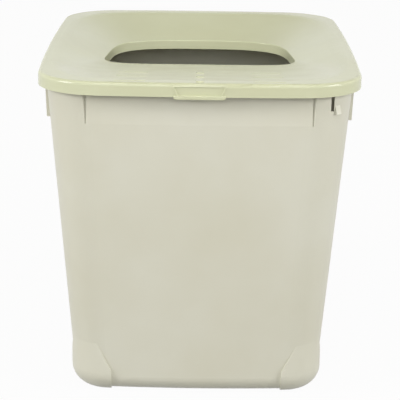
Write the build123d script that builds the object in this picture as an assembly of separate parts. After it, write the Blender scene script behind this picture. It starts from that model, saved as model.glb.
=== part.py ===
"""Top entry litter box: a drafted tub with a hinged, dished lid that holds the entry opening.

Millimetres. X runs across the box, the front faces -Y and +Z is up.
The origin is on the floor, under the middle of the lid.
"""

import math
import os

from build123d import *

# Lid
LID_WIDTH = 386.6
LID_LENGTH = 524.0
LID_TOP = 396.8
LID_CORNER_RADIUS = 74.0
LID_END_BOW = 8.0
LID_SIDE_BOW = 6.0
LID_WALL = 2.6
SKIRT_HEIGHT = 15.8
LID_EDGE_RADIUS = 4.0

# Dish in the lid's top, which falls from a flat border to the entry opening
BORDER_WIDTH = 18.0
BORDER_POWER = 5.0
DISH_DEPTH = 24.8
DISH_ROLL_RADIUS = 30.0
LIP_RADIUS = 1.2

# Entry opening
OPENING_FRONT_WIDTH = 256.6
OPENING_REAR_WIDTH = 221.2
OPENING_LENGTH = 173.7
OPENING_REAR_MARGIN = 108.6
OPENING_FRONT_POWER = 5.8
OPENING_REAR_POWER = 3.24
OVAL_POINTS = 64
COLLAR_DEPTH = 12.0
COLLAR_WALL = 2.4

# Lift tab on the lid's front
TAB_TOP_WIDTH = 61.5
TAB_BOTTOM_WIDTH = 51.5
TAB_RECESS = 1.0
TAB_RIB_WIDTH = 1.3
TAB_RIB_PROUD = 0.6
TAB_LIP_WIDTH = 59.5
TAB_LIP_HEIGHT = 4.2
TAB_LIP_DROP = 2.7
TAB_LIP_PROUD = 1.6
TAB_LIP_RADIUS = 3.0
TAB_EDGE_RADIUS = 0.7

# Studs and grip ridges on the lid's front half
STUD_RADIUS = 4.5
STUD_PITCH = 51.0
STUD_COUNT = 3
STUD_START = 14.0
STUD_RISE = 0.9
RIDGE_WIDTH = 36.0
RIDGE_LENGTH = 4.0
RIDGE_PITCH = 50.0
RIDGE_COUNT = 3
RIDGE_START = 16.0
RIDGE_OFFSET = 80.0
RIDGE_RISE = 0.35

# Tub
SIDE_OVERHANG = 12.6
END_OVERHANG = 11.0
TUB_WALL = 2.8
TUB_FLOOR = 3.0
WALL_DRAFT = 4.5
TUB_RIM_RADIUS = 55.0
TUB_BASE_RADIUS = 45.0
TUB_END_BOW = 7.0
TUB_SIDE_BOW = 1.0
BASE_EDGE_RADIUS = 22.0
SEAT_GAP = 0.3
FLANGE_WIDTH = 3.5
FLANGE_THICKNESS = 3.0

# Front panel, a step in the front wall where the wall runs upright
PANEL_WIDTH = 263.5
PANEL_HEIGHT = 49.3
GROOVE_WIDTH = 1.5
GROOVE_DEPTH = 1.6

# Side lift skirts
HANDLE_LENGTH = 350.0
HANDLE_DROP = 57.0
HANDLE_STANDOFF = 3.1
HANDLE_DRAFT = 2.1
HANDLE_WALL = 2.6
HANDLE_GAP_HEIGHT = 34.0
HANDLE_CORNER_RADIUS = 1.2

# Feet
FOOT_CLEARANCE = 2.0
FOOT_TOP = 65.0
FOOT_WIDTH = 51.0
FOOT_SHOULDER = 31.0
FOOT_TOP_WIDTH = 29.0
FOOT_EDGE_RADIUS = 26.0

# Hanging slot and peg at the front right corner
SLOT_WIDTH = 3.8
SLOT_HEIGHT = 30.0
SLOT_INSET = 29.4
PEG_ANGLE = 41.0
PEG_WIDTH = 7.5
PEG_HEIGHT = 9.8
PEG_REACH = 3.2
PEG_DROP = 26.7

# Hinges
HINGE_SPACING = 190.0
HINGE_BELOW_TOP = 8.5
HINGE_BEHIND_LID = 1.5
PIN_RADIUS = 2.0
PIN_HEAD_RADIUS = 3.4
PIN_HEAD_THICKNESS = 1.6
PIN_CLEARANCE = 0.05
KNUCKLE_RADIUS = 4.5
KNUCKLE_LENGTH = 22.0
EAR_THICKNESS = 4.0
EAR_GAP = 0.4
NOTCH_CLEARANCE = 1.2

LID_FRONT = -LID_LENGTH / 2
OPENING_LIP_Z = LID_TOP - DISH_DEPTH
SKIRT_BOTTOM = LID_TOP - SKIRT_HEIGHT
LID_UNDERSIDE = LID_TOP - LID_WALL
TUB_RIM_Z = LID_UNDERSIDE - SEAT_GAP
TUB_HALF_WIDTH = LID_WIDTH / 2 - SIDE_OVERHANG
TUB_HALF_LENGTH = LID_LENGTH / 2 - END_OVERHANG
HINGE_Y = LID_LENGTH / 2 + HINGE_BEHIND_LID
HINGE_Z = LID_TOP - HINGE_BELOW_TOP
OPENING_REAR_Y = LID_LENGTH / 2 - OPENING_REAR_MARGIN
OVERCUT = 10.0
EDGE_PICK = 0.05


class Outline:
    """A plan shape with four bowed sides and four rounded corners."""

    def __init__(self, width, length, end_bow, side_bow, radius):
        self.width = width
        self.length = length
        self.end_bow = end_bow
        self.side_bow = side_bow
        self.radius = radius

    def grown(self, amount):
        width = self.width + 2 * amount
        length = self.length + 2 * amount
        return Outline(width, length, self.end_bow, self.side_bow, self.radius + amount)

    def towards(self, other, share):
        width = self.width + (other.width - self.width) * share
        length = self.length + (other.length - self.length) * share
        radius = self.radius + (other.radius - self.radius) * share
        return Outline(width, length, self.end_bow, self.side_bow, radius)

    def face(self, z):
        x = self.width / 2 - self.side_bow
        y = self.length / 2 - self.end_bow
        front = ThreePointArc((-x, -y), (0, -self.length / 2), (x, -y))
        right = ThreePointArc((x, -y), (self.width / 2, 0), (x, y))
        rear = ThreePointArc((x, y), (0, self.length / 2), (-x, y))
        left = ThreePointArc((-x, y), (-self.width / 2, 0), (-x, -y))
        flat = make_face([front, right, rear, left])
        return Pos(0, 0, z) * fillet(flat.vertices(), self.radius)

    def front_y(self, x):
        """How far forward the bowed front side lies at this x."""
        reach = self.width / 2 - self.side_bow
        bow_radius = (reach**2 + self.end_bow**2) / (2 * self.end_bow)
        return bow_radius - self.length / 2 - math.sqrt(bow_radius**2 - x**2)

    def front_right_centre(self):
        """The centre of the arc that rounds the front right corner."""
        return self.face(0).edges().sort_by(Axis((0, 0, 0), (1, -1, 0)))[-1].arc_center


def prism(outline, low, high):
    return extrude(outline.face(low), amount=high - low)


def block(low, high):
    size = [b - a for a, b in zip(low, high)]
    middle = [(a + b) / 2 for a, b in zip(low, high)]
    return Pos(*middle) * Box(*size)


def lid_outline():
    return Outline(LID_WIDTH, LID_LENGTH, LID_END_BOW, LID_SIDE_BOW, LID_CORNER_RADIUS)


class Oval:
    """A squarish oval in plan, whose rear may be narrower and rounder than its front."""

    def __init__(self, front_width, rear_width, front_y, rear_y, front_power, rear_power):
        self.front_width = front_width
        self.rear_width = rear_width
        self.front_y = front_y
        self.rear_y = rear_y
        self.front_power = front_power
        self.rear_power = rear_power

    def grown(self, amount):
        front_width = self.front_width + 2 * amount
        rear_width = self.rear_width + 2 * amount
        powers = (self.front_power, self.rear_power)
        return Oval(front_width, rear_width, self.front_y - amount, self.rear_y + amount, *powers)

    def point(self, angle):
        across = math.cos(angle)
        along = math.sin(angle)
        power = self.rear_power if along > 0 else self.front_power
        reach = (abs(across) ** power + abs(along) ** power) ** (-1 / power)
        share = (along * reach + 1) / 2
        y = self.front_y + (self.rear_y - self.front_y) * share
        half_width = (self.front_width + (self.rear_width - self.front_width) * share) / 2
        return (half_width * across * reach, y)

    def face(self, z):
        return blended_face(self, self, 0, z)


def blended_face(first, second, share, z):
    """The oval that lies this share of the way from the first to the second."""
    points = []
    for number in range(OVAL_POINTS):
        angle = 2 * math.pi * (number + 0.5) / OVAL_POINTS
        near = first.point(angle)
        far = second.point(angle)
        points.append((near[0] + (far[0] - near[0]) * share, near[1] + (far[1] - near[1]) * share, z))
    steps = [float(number) for number in range(OVAL_POINTS + 1)]
    return make_face(Edge.make_spline(points, periodic=True, parameters=steps))


def border_oval():
    width = LID_WIDTH - 2 * BORDER_WIDTH
    half_length = LID_LENGTH / 2 - BORDER_WIDTH
    return Oval(width, width, -half_length, half_length, BORDER_POWER, BORDER_POWER)


def opening_oval():
    front_y = OPENING_REAR_Y - OPENING_LENGTH
    powers = (OPENING_FRONT_POWER, OPENING_REAR_POWER)
    return Oval(OPENING_FRONT_WIDTH, OPENING_REAR_WIDTH, front_y, OPENING_REAR_Y, *powers)


def rim_outline():
    return Outline(2 * TUB_HALF_WIDTH, 2 * TUB_HALF_LENGTH, TUB_END_BOW, TUB_SIDE_BOW, TUB_RIM_RADIUS)


def base_outline():
    taper = (TUB_RIM_Z - FOOT_CLEARANCE) * math.tan(math.radians(WALL_DRAFT))
    width = 2 * (TUB_HALF_WIDTH - taper)
    length = 2 * (TUB_HALF_LENGTH - taper)
    return Outline(width, length, TUB_END_BOW, TUB_SIDE_BOW, TUB_BASE_RADIUS)


def wall_outline(z):
    return base_outline().towards(rim_outline(), (z - FOOT_CLEARANCE) / (TUB_RIM_Z - FOOT_CLEARANCE))


def dish_plug(opening, lowered, start_z, end_z):
    """A plug whose sides slope straight from the border to the opening and then drop upright."""
    share = (LID_TOP - lowered - start_z) / DISH_DEPTH
    top = blended_face(border_oval(), opening, share, start_z)
    return loft([top, opening.face(OPENING_LIP_Z - lowered), opening.face(end_z)], ruled=True)


def dish_layer(opening, rise):
    """The dish's top surface as a layer that stands this much above it and reaches down into it."""
    layer = dish_plug(opening, LID_WALL / 2, LID_TOP + LID_WALL, OPENING_LIP_Z - LID_WALL)
    layer -= dish_plug(opening, -rise, LID_TOP + 2 * LID_WALL, OPENING_LIP_Z - 2 * LID_WALL)
    return layer - prism(lid_outline(), LID_TOP + rise, LID_TOP + OVERCUT)


def grip_studs(opening):
    """A row of round studs on the middle of the front slope."""
    layer = dish_layer(opening, STUD_RISE)
    height = DISH_DEPTH + OVERCUT
    studs = []
    for number in range(STUD_COUNT):
        y = LID_FRONT + STUD_START + number * STUD_PITCH
        studs.append(Pos(0, y, OPENING_LIP_Z + height / 2) * Cylinder(STUD_RADIUS, height) & layer)
    return studs


def grip_ridges(opening):
    """Low ridges across the front slope on both sides of the studs."""
    layer = dish_layer(opening, RIDGE_RISE)
    half = (RIDGE_WIDTH / 2, RIDGE_LENGTH / 2)
    ridges = []
    for x in (-RIDGE_OFFSET, RIDGE_OFFSET):
        for number in range(RIDGE_COUNT):
            y = LID_FRONT + RIDGE_START + number * RIDGE_PITCH
            low = (x - half[0], y - half[1], OPENING_LIP_Z)
            high = (x + half[0], y + half[1], LID_TOP + OVERCUT)
            ridges.append(block(low, high) & layer)
    return ridges


def front_trapezoid(top_width, bottom_width, bottom, top, low_y, high_y):
    """An upright trapezoid seen from the front, from one depth to another."""
    upper = top_width / 2
    lower = bottom_width / 2
    points = [(-upper, top), (upper, top), (lower, bottom), (-lower, bottom)]
    flat = Plane.XZ * make_face(Polyline(*points, close=True))
    return Pos(0, high_y, 0) * extrude(flat, amount=high_y - low_y)


def tab_recess():
    """The sunk face of the tab, between its lip and the lid's rounded top edge."""
    bottom = SKIRT_BOTTOM - TAB_LIP_DROP + TAB_LIP_HEIGHT
    top = LID_TOP - LID_EDGE_RADIUS
    span = (LID_FRONT - OVERCUT, LID_FRONT + TAB_RECESS)
    return front_trapezoid(TAB_TOP_WIDTH, TAB_BOTTOM_WIDTH, bottom, top, *span)


def tab_ribs():
    """Two slanted ribs, one along each side of the recess."""
    bottom = SKIRT_BOTTOM - TAB_LIP_DROP + TAB_LIP_HEIGHT
    top = LID_TOP - LID_EDGE_RADIUS
    span = (LID_FRONT - TAB_RIB_PROUD, LID_FRONT + LID_WALL)
    outer = front_trapezoid(TAB_TOP_WIDTH, TAB_BOTTOM_WIDTH, bottom, top, *span)
    twice = 2 * TAB_RIB_WIDTH
    return outer - front_trapezoid(TAB_TOP_WIDTH - twice, TAB_BOTTOM_WIDTH - twice, bottom, top, *span)


def tab_lip():
    """The lip under the recess that fingers lift."""
    half = TAB_LIP_WIDTH / 2
    bottom = SKIRT_BOTTOM - TAB_LIP_DROP
    low = (-half, LID_FRONT - TAB_LIP_PROUD, bottom)
    lip = block(low, (half, LID_FRONT + LID_WALL, bottom + TAB_LIP_HEIGHT))
    lip = fillet(lip.edges().filter_by(Axis.Y).group_by(Axis.Z)[0], TAB_LIP_RADIUS)
    return fillet(lip.faces().sort_by(Axis.Y)[0].edges(), TAB_EDGE_RADIUS)


def hinge_centres():
    return [-HINGE_SPACING / 2, HINGE_SPACING / 2]


def rod(x_low, x_high, radius):
    bar = Rot(0, 90, 0) * Cylinder(radius, x_high - x_low)
    return Pos((x_low + x_high) / 2, HINGE_Y, HINGE_Z) * bar


def ear_centres(hinge):
    reach = KNUCKLE_LENGTH / 2 + EAR_GAP + EAR_THICKNESS / 2
    return [hinge - reach, hinge + reach]


def lid_shell():
    """The dished plate with its skirt and the collar around the opening."""
    outline = lid_outline()
    opening = opening_oval()
    collar_bottom = OPENING_LIP_Z - COLLAR_DEPTH
    shell = prism(outline, SKIRT_BOTTOM, LID_TOP)
    shell = fillet(shell.faces().sort_by(Axis.Z)[-1].edges(), LID_EDGE_RADIUS)
    shell -= prism(outline.grown(-LID_WALL), SKIRT_BOTTOM - OVERCUT, LID_UNDERSIDE)
    shell += dish_plug(opening.grown(COLLAR_WALL), LID_WALL, LID_TOP - LID_WALL / 2, collar_bottom)
    shell -= dish_plug(opening, 0, LID_TOP + LID_WALL, collar_bottom - OVERCUT)
    for z, radius in ((LID_TOP, DISH_ROLL_RADIUS), (OPENING_LIP_Z, LIP_RADIUS)):
        level_edges = shell.edges().filter_by_position(Axis.Z, z - EDGE_PICK, z + EDGE_PICK)
        shell = fillet(level_edges.sort_by(SortBy.LENGTH)[-1], radius)
    return shell


def make_lid():
    shell = lid_shell()
    for hinge in hinge_centres():
        half = KNUCKLE_LENGTH / 2
        shell += rod(hinge - half, hinge + half, KNUCKLE_RADIUS)
        shell -= rod(hinge - half - OVERCUT, hinge + half + OVERCUT, PIN_RADIUS + PIN_CLEARANCE)
        for ear in ear_centres(hinge):
            outward = 1 if ear > hinge else -1
            near = ear - outward * (EAR_THICKNESS / 2 + EAR_GAP)
            far = ear + outward * (EAR_THICKNESS / 2 + PIN_HEAD_THICKNESS + NOTCH_CLEARANCE)
            low = (min(near, far), HINGE_Y - KNUCKLE_RADIUS - LID_WALL, SKIRT_BOTTOM - OVERCUT)
            high = (max(near, far), HINGE_Y + KNUCKLE_RADIUS + OVERCUT, LID_UNDERSIDE)
            shell -= block(low, high)
    shell -= tab_recess()
    shell += tab_ribs()
    shell += tab_lip()
    opening = opening_oval()
    for piece in grip_studs(opening) + grip_ridges(opening):
        shell += piece
    return shell


def tub_handle(side):
    """A lift skirt that hangs from the rim along one side, closed at both ends."""
    top = TUB_RIM_Z - FLANGE_THICKNESS / 2
    bottom = TUB_RIM_Z - HANDLE_DROP
    slant = math.tan(math.radians(HANDLE_DRAFT))
    outer_top = TUB_HALF_WIDTH + HANDLE_STANDOFF
    outer_bottom = outer_top - (top - bottom) * slant
    anchor_x = outer_bottom - 4 * HANDLE_WALL
    points = [(anchor_x, bottom), (outer_bottom, bottom), (outer_top, top), (anchor_x, top)]
    profile = Plane.XZ * make_face(Polyline(*points, close=True))
    skirt = extrude(profile, amount=HANDLE_LENGTH / 2, both=True)
    corner = skirt.edges().filter_by(Axis.Y).group_by(Axis.Z)[0].sort_by(Axis.X)[-1]
    skirt = fillet(corner, HANDLE_CORNER_RADIUS)
    low = bottom - OVERCUT
    high = bottom + HANDLE_GAP_HEIGHT
    inner_low = outer_bottom - HANDLE_WALL - OVERCUT * slant
    inner_high = outer_bottom - HANDLE_WALL + HANDLE_GAP_HEIGHT * slant
    gap_x = anchor_x - OVERCUT
    points = [(gap_x, low), (inner_low, low), (inner_high, high), (gap_x, high)]
    gap = Plane.XZ * make_face(Polyline(*points, close=True))
    skirt -= extrude(gap, amount=HANDLE_LENGTH / 2 - HANDLE_WALL, both=True)
    return skirt if side > 0 else mirror(skirt, Plane.YZ)


def tub_feet():
    """Four upright corner feet that stand out of the drafted walls."""
    outline = wall_outline(FOOT_TOP)
    half_width = outline.width / 2
    half_length = outline.length / 2
    post = prism(outline, 0, FOOT_TOP + OVERCUT)
    post = fillet(post.faces().sort_by(Axis.Z)[0].edges(), FOOT_EDGE_RADIUS)
    top = FOOT_TOP + OVERCUT
    for plane, half, reach in ((Plane.XZ, half_width, half_length), (Plane.YZ, half_length, half_width)):
        inner = half - FOOT_WIDTH
        shoulder = half - FOOT_TOP_WIDTH
        outer = half + OVERCUT
        points = [(inner, -OVERCUT), (outer, -OVERCUT), (outer, top), (shoulder, top), (inner, FOOT_SHOULDER)]
        flat = plane * make_face(Polyline(*points, close=True))
        window = extrude(flat, amount=reach, both=True)
        post &= window + mirror(window, Plane.YZ if plane == Plane.XZ else Plane.XZ)
    return post


def hanging_slot():
    left = TUB_HALF_WIDTH - SLOT_INSET
    top = TUB_RIM_Z - FLANGE_THICKNESS
    return block((left, LID_FRONT, top - SLOT_HEIGHT), (left + SLOT_WIDTH, LID_FRONT + TUB_RIM_RADIUS, top))


def hanging_peg():
    """A catch on the front right corner, with a sloping top and a flat underside."""
    top = TUB_RIM_Z - PEG_DROP
    bottom = top - PEG_HEIGHT
    outline = wall_outline(top)
    wall_y = -outline.radius
    root_y = wall_y + OVERCUT
    points = [(root_y, top), (wall_y, top), (wall_y - PEG_REACH, bottom), (root_y, bottom)]
    peg = extrude(Plane.YZ * make_face(Polyline(*points, close=True)), amount=PEG_WIDTH / 2, both=True)
    centre = outline.front_right_centre()
    return Pos(centre.X, centre.Y, 0) * Rot(0, 0, PEG_ANGLE) * peg


def tub_ears():
    ears = []
    for hinge in hinge_centres():
        for x in ear_centres(hinge):
            half = EAR_THICKNESS / 2
            ear = rod(x - half, x + half, KNUCKLE_RADIUS)
            low = (x - half, TUB_HALF_LENGTH - TUB_WALL / 2, HINGE_Z - KNUCKLE_RADIUS)
            ear += block(low, (x + half, HINGE_Y, HINGE_Z + KNUCKLE_RADIUS))
            ear -= rod(x - EAR_THICKNESS, x + EAR_THICKNESS, PIN_RADIUS)
            ears.append(ear)
    return ears


def front_step():
    """What the upright front panel and the groove down each of its edges take out of the drafted wall."""
    bottom = TUB_RIM_Z - PANEL_HEIGHT
    top = TUB_RIM_Z + OVERCUT
    panel = wall_outline(bottom)
    half = PANEL_WIDTH / 2
    face_y = panel.front_y(half)
    wide = half + face_y - LID_FRONT
    points = [(-wide, LID_FRONT), (wide, LID_FRONT), (half, face_y), (half, 0), (-half, 0), (-half, face_y)]
    space = extrude(Pos(0, 0, bottom) * make_face(Polyline(*points, close=True)), amount=top - bottom)
    step = space - prism(panel, bottom - OVERCUT, top + OVERCUT)
    sunk = prism(panel.grown(-GROOVE_DEPTH), bottom - OVERCUT, top + OVERCUT)
    for side in (-1, 1):
        edges = sorted((side * half, side * (half - GROOVE_WIDTH)))
        step += block((edges[0], LID_FRONT, bottom), (edges[1], 0, top)) - sunk
    return step


def tub_inside():
    """The hollow of the tub, which follows the walls and the front panel."""
    floor = FOOT_CLEARANCE + TUB_FLOOR
    low = wall_outline(floor).grown(-TUB_WALL).face(floor)
    inside = loft([low, rim_outline().grown(-TUB_WALL).face(TUB_RIM_Z)], ruled=True)
    inside = fillet(inside.faces().sort_by(Axis.Z)[0].edges(), BASE_EDGE_RADIUS - TUB_FLOOR)
    bottom = TUB_RIM_Z - PANEL_HEIGHT - OVERCUT
    top = TUB_RIM_Z + OVERCUT
    panel = wall_outline(TUB_RIM_Z - PANEL_HEIGHT)
    half = PANEL_WIDTH / 2 + 2 * TUB_WALL
    front = block((-half, LID_FRONT, bottom), (half, 0, top))
    return inside - (front - prism(panel.grown(-TUB_WALL), bottom - OVERCUT, top + OVERCUT))


def make_tub():
    rim = rim_outline()
    walls = loft([base_outline().face(FOOT_CLEARANCE), rim.face(TUB_RIM_Z)], ruled=True)
    walls = fillet(walls.faces().sort_by(Axis.Z)[0].edges(), BASE_EDGE_RADIUS)
    walls -= front_step()
    walls += prism(rim.grown(FLANGE_WIDTH), TUB_RIM_Z - FLANGE_THICKNESS, TUB_RIM_Z)
    for side in (-1, 1):
        walls += tub_handle(side)
    walls += tub_feet()
    walls += hanging_peg()
    for ear in tub_ears():
        walls += ear
    walls -= tub_inside()
    walls -= hanging_slot()
    return walls


def make_pin(side):
    """A push-in hinge pin with its head on the outer side."""
    hinge = side * HINGE_SPACING / 2
    reach = KNUCKLE_LENGTH / 2 + EAR_GAP + EAR_THICKNESS
    shaft = rod(hinge - reach, hinge + reach, PIN_RADIUS)
    head_start = hinge + side * reach
    head_end = head_start + side * PIN_HEAD_THICKNESS
    return shaft + rod(min(head_start, head_end), max(head_start, head_end), PIN_HEAD_RADIUS)


os.makedirs("parts", exist_ok=True)
export_step(make_tub(), "parts/tub.step")
export_step(make_lid(), "parts/lid.step")
export_step(make_pin(-1), "parts/left_hinge_pin.step")
export_step(make_pin(1), "parts/right_hinge_pin.step")
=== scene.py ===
import math

import bpy
from mathutils import Matrix, Vector

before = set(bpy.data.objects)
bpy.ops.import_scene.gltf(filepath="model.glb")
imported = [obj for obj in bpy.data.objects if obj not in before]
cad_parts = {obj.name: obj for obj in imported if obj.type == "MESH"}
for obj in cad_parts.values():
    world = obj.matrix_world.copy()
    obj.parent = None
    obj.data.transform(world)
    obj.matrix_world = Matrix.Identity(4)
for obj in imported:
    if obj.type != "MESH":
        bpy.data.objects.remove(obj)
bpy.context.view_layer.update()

MM = 0.001
IOR_PLASTIC = 1.49

# Surround: what reflections see falls from 1 near head height to CEILING overhead
CEILING = 0.25
CEILING_START = 0.36
CEILING_END = 0.72
FILL_STRENGTH = 0.40

# Floor: the share of white that the camera sees over the real paper, which keeps the shadow
FLOOR_HALF = 8.0
FLOOR_GLOW = 0.96

# Lamps, metres and watts: centre, aim, width, height, power
LAMPS = {
    "left": ((-2.6, -1.3, 1.3), (0, 0, 0.2), 1.2, 1.2, 48),
    "right": ((2.6, -1.3, 1.3), (0, 0, 0.2), 1.2, 1.2, 44),
    "top": ((0, -1.25, 2.1), (0, 0, 0.25), 1.0, 0.7, 9),
    "front": ((0, -3.2, 1.5), (0, 0, 0.25), 1.8, 1.2, 23),
}

# Camera
CAMERA_LENS = 138.24
CAMERA_SENSOR = 36.0
CAMERA_PLACE = (-2.08 * MM, -1962.6 * MM, 749.9 * MM)
CAMERA_YAW = -0.0024
CAMERA_PITCH_DOWN = 0.2802
CAMERA_ROLL = 0.0137

# Colours, sRGB hex
LID_GREEN = "C9CBAB"
LID_GREEN_PALE = "CED1B3"
# Paler edge tint for the lid: a painted highlight along its rounded edges
LID_GREEN_EDGE_HIGHLIGHT = "E0E1C8"
TUB_CREAM = "D6D5C8"
TUB_CREAM_DULL = "D1CFBF"
# Paler edge tint for the tub and pins: a painted highlight along their rounded edges
TUB_CREAM_EDGE_HIGHLIGHT = "E4E3D6"
PIN_CREAM = "D2D0BE"
PIN_CREAM_DULL = "C6C4B0"
PAPER_WHITE = "FFFFFF"
PAPER_GREY = "AEAEAC"
FILL_WARM = "F7F2E0"


def linear(code):
    """An sRGB hex code as linear RGBA."""
    channels = [int(code[i : i + 2], 16) / 255 for i in (0, 2, 4)]
    return [c / 12.92 if c <= 0.04045 else ((c + 0.055) / 1.055) ** 2.4 for c in channels] + [1.0]


def node(tree, kind, settings=None, values=None, links=None):
    """Adds a node, sets its properties and sockets, and links other nodes' outputs to it."""
    added = tree.nodes.new(kind)
    for name, value in (settings or {}).items():
        setattr(added, name, value)
    for name, value in (values or {}).items():
        added.inputs[name].default_value = value
    for name, (source, output) in (links or {}).items():
        tree.links.new(source.outputs[output], added.inputs[name])
    return added


def moulded_plastic(name, main, shade, edge_highlight, roughness, grain_mm, grain_depth):
    """Injection-moulded polypropylene: a satin skin with faint flow clouding, a fine eroded grain
    that softens highlights, and paler rounded edges, a painted highlight along the fillets."""
    material = bpy.data.materials.new(name)
    material.use_nodes = True
    tree = material.node_tree
    tree.nodes.clear()
    place = node(tree, "ShaderNodeTexCoord")
    clouding = node(
        tree,
        "ShaderNodeTexNoise",
        values={"Scale": 1 / (140 * MM), "Detail": 3.0, "Roughness": 0.55},
        links={"Vector": (place, "Object")},
    )
    cloud_share = node(
        tree,
        "ShaderNodeMapRange",
        values={"From Min": 0.35, "From Max": 0.7},
        links={"Value": (clouding, "Fac")},
    )
    body = node(
        tree,
        "ShaderNodeMix",
        {"data_type": "RGBA"},
        {"A": linear(main), "B": linear(shade)},
        {"Factor": (cloud_share, "Result")},
    )
    rounded = node(tree, "ShaderNodeBevel", {"samples": 6}, {"Radius": 2.0 * MM})
    flat = node(tree, "ShaderNodeNewGeometry")
    # Painted highlight: where the bevelled normal turns away from the face normal, the colour is mixed
    # towards the paler edge tint
    edge_dot = node(
        tree,
        "ShaderNodeVectorMath",
        {"operation": "DOT_PRODUCT"},
        links={0: (rounded, "Normal"), 1: (flat, "Normal")},
    )
    edge = node(
        tree,
        "ShaderNodeMapRange",
        values={"From Min": 0.97, "From Max": 0.75, "To Max": 0.4},
        links={"Value": (edge_dot, "Value")},
    )
    colour = node(
        tree,
        "ShaderNodeMix",
        {"data_type": "RGBA"},
        {"B": linear(edge_highlight)},
        {"Factor": (edge, "Result"), "A": (body, "Result")},
    )
    smears = node(
        tree,
        "ShaderNodeTexNoise",
        values={"Scale": 1 / (38 * MM), "Detail": 4.0},
        links={"Vector": (place, "Object")},
    )
    dullness = node(
        tree,
        "ShaderNodeMapRange",
        values={"To Min": roughness - 0.05, "To Max": roughness + 0.07},
        links={"Value": (smears, "Fac")},
    )
    grain = node(
        tree,
        "ShaderNodeTexNoise",
        values={"Scale": 1 / (grain_mm * MM), "Detail": 2.0},
        links={"Vector": (place, "Object")},
    )
    relief = node(
        tree,
        "ShaderNodeBump",
        values={"Strength": 0.25, "Distance": grain_depth * MM},
        links={"Height": (grain, "Fac")},
    )
    shader = node(
        tree,
        "ShaderNodeBsdfPrincipled",
        values={"IOR": IOR_PLASTIC},
        links={
            "Base Color": (colour, "Result"),
            "Roughness": (dullness, "Result"),
            "Normal": (relief, "Normal"),
        },
    )
    node(tree, "ShaderNodeOutputMaterial", links={"Surface": (shader, "BSDF")})
    return material


def dress(name, material):
    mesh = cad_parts[name].data
    mesh.materials.clear()
    mesh.materials.append(material)


def paint_cad_nodes():
    # Smooth enough for the flat top to pick up the white surround as a soft sheen
    lid = moulded_plastic(
        "injection_moulded_polypropylene_green",
        LID_GREEN,
        LID_GREEN_PALE,
        LID_GREEN_EDGE_HIGHLIGHT,
        roughness=0.20,
        grain_mm=1.6,
        grain_depth=0.04,
    )
    # Duller and more grained, so the tall walls read as an even matt tone
    tub = moulded_plastic(
        "injection_moulded_polypropylene_cream",
        TUB_CREAM,
        TUB_CREAM_DULL,
        TUB_CREAM_EDGE_HIGHLIGHT,
        roughness=0.36,
        grain_mm=1.8,
        grain_depth=0.05,
    )
    # A denser, finer-grained plastic with a slightly tighter highlight
    pin = moulded_plastic(
        "turned_acetal_cream",
        PIN_CREAM,
        PIN_CREAM_DULL,
        TUB_CREAM_EDGE_HIGHLIGHT,
        roughness=0.30,
        grain_mm=0.8,
        grain_depth=0.02,
    )
    dress("lid", lid)
    dress("tub", tub)
    dress("left_hinge_pin", pin)
    dress("right_hinge_pin", pin)


def seen_rays(tree):
    """1 for rays from the camera, reflections and see-through, which show the studio's white surround."""
    path = node(tree, "ShaderNodeLightPath")
    seen = node(
        tree,
        "ShaderNodeMath",
        {"operation": "MAXIMUM"},
        links={0: (path, "Is Camera Ray"), 1: (path, "Is Glossy Ray")},
    )
    return node(
        tree,
        "ShaderNodeMath",
        {"operation": "MAXIMUM"},
        links={0: (seen, "Value"), 1: (path, "Is Transmission Ray")},
    )


def make_world():
    """A white surround up to head height that greys towards the unlit ceiling."""
    world = bpy.data.worlds.new("studio")
    bpy.context.scene.world = world
    world.use_nodes = True
    tree = world.node_tree
    tree.nodes.clear()
    direction = node(tree, "ShaderNodeTexCoord")
    height = node(tree, "ShaderNodeSeparateXYZ", links={"Vector": (direction, "Generated")})
    rise = node(
        tree,
        "ShaderNodeMapRange",
        {"interpolation_type": "SMOOTHSTEP"},
        {"From Min": CEILING_START, "From Max": CEILING_END, "To Min": 1.0, "To Max": CEILING},
        {"Value": (height, "Z")},
    )
    shown = node(
        tree,
        "ShaderNodeBackground",
        values={"Color": linear(PAPER_WHITE)},
        links={"Strength": (rise, "Result")},
    )
    fill = node(
        tree,
        "ShaderNodeBackground",
        values={"Color": linear(FILL_WARM), "Strength": FILL_STRENGTH},
    )
    rays = seen_rays(tree)
    surround = node(
        tree,
        "ShaderNodeMixShader",
        links={0: (rays, "Value"), 1: (fill, "Background"), 2: (shown, "Background")},
    )
    node(tree, "ShaderNodeOutputWorld", links={"Surface": (surround, "Shader")})


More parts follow.
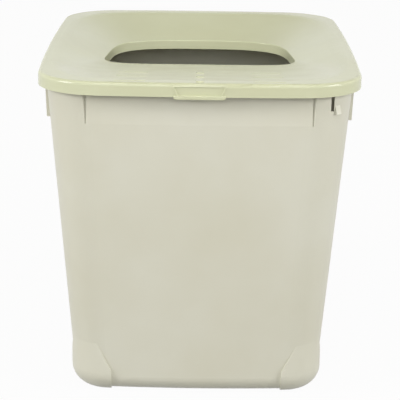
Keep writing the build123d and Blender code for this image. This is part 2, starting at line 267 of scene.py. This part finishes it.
def make_floor():
    mesh = bpy.data.meshes.new("floor")
    half = FLOOR_HALF
    corners = [(-half, -half, 0), (half, -half, 0), (half, half, 0), (-half, half, 0)]
    mesh.from_pydata(corners, [], [(0, 1, 2, 3)])
    floor = bpy.data.objects.new("floor", mesh)
    bpy.context.collection.objects.link(floor)
    material = bpy.data.materials.new("matt_white_paper_sweep")
    material.use_nodes = True
    tree = material.node_tree
    tree.nodes.clear()
    paper = node(
        tree,
        "ShaderNodeBsdfDiffuse",
        values={"Color": linear(PAPER_GREY), "Roughness": 0.8},
    )
    glow = node(
        tree,
        "ShaderNodeEmission",
        values={"Color": linear(PAPER_WHITE), "Strength": 1.0},
    )
    rays = seen_rays(tree)
    share = node(
        tree,
        "ShaderNodeMath",
        {"operation": "MULTIPLY"},
        {1: FLOOR_GLOW},
        {0: (rays, "Value")},
    )
    sweep = node(
        tree,
        "ShaderNodeMixShader",
        links={0: (share, "Value"), 1: (paper, "BSDF"), 2: (glow, "Emission")},
    )
    node(tree, "ShaderNodeOutputMaterial", links={"Surface": (sweep, "Shader")})
    mesh.materials.append(material)


def softbox(name, centre, aim, width, height, power):
    light = bpy.data.lights.new(name, "AREA")
    light.shape = "RECTANGLE"
    light.size = width
    light.size_y = height
    light.energy = power
    lamp = bpy.data.objects.new(name, light)
    direction = Vector(aim) - Vector(centre)
    lamp.matrix_world = Matrix.Translation(centre) @ direction.to_track_quat("-Z", "Y").to_matrix().to_4x4()
    bpy.context.collection.objects.link(lamp)


def make_camera():
    camera_data = bpy.data.cameras.new("camera")
    camera_data.sensor_width = CAMERA_SENSOR
    camera_data.lens = CAMERA_LENS
    camera_data.clip_end = 50.0
    camera = bpy.data.objects.new("camera", camera_data)
    yaw = Matrix.Rotation(CAMERA_YAW, 4, "Z")
    pitch = Matrix.Rotation(math.radians(90) - CAMERA_PITCH_DOWN, 4, "X")
    roll = Matrix.Rotation(CAMERA_ROLL, 4, "Z")
    camera.matrix_world = Matrix.Translation(CAMERA_PLACE) @ yaw @ pitch @ roll
    bpy.context.collection.objects.link(camera)
    bpy.context.scene.camera = camera


paint_cad_nodes()
make_world()
make_floor()
for lamp_name, lamp in LAMPS.items():
    softbox(lamp_name, *lamp)
make_camera()
bpy.context.scene.view_settings.view_transform = "Standard"
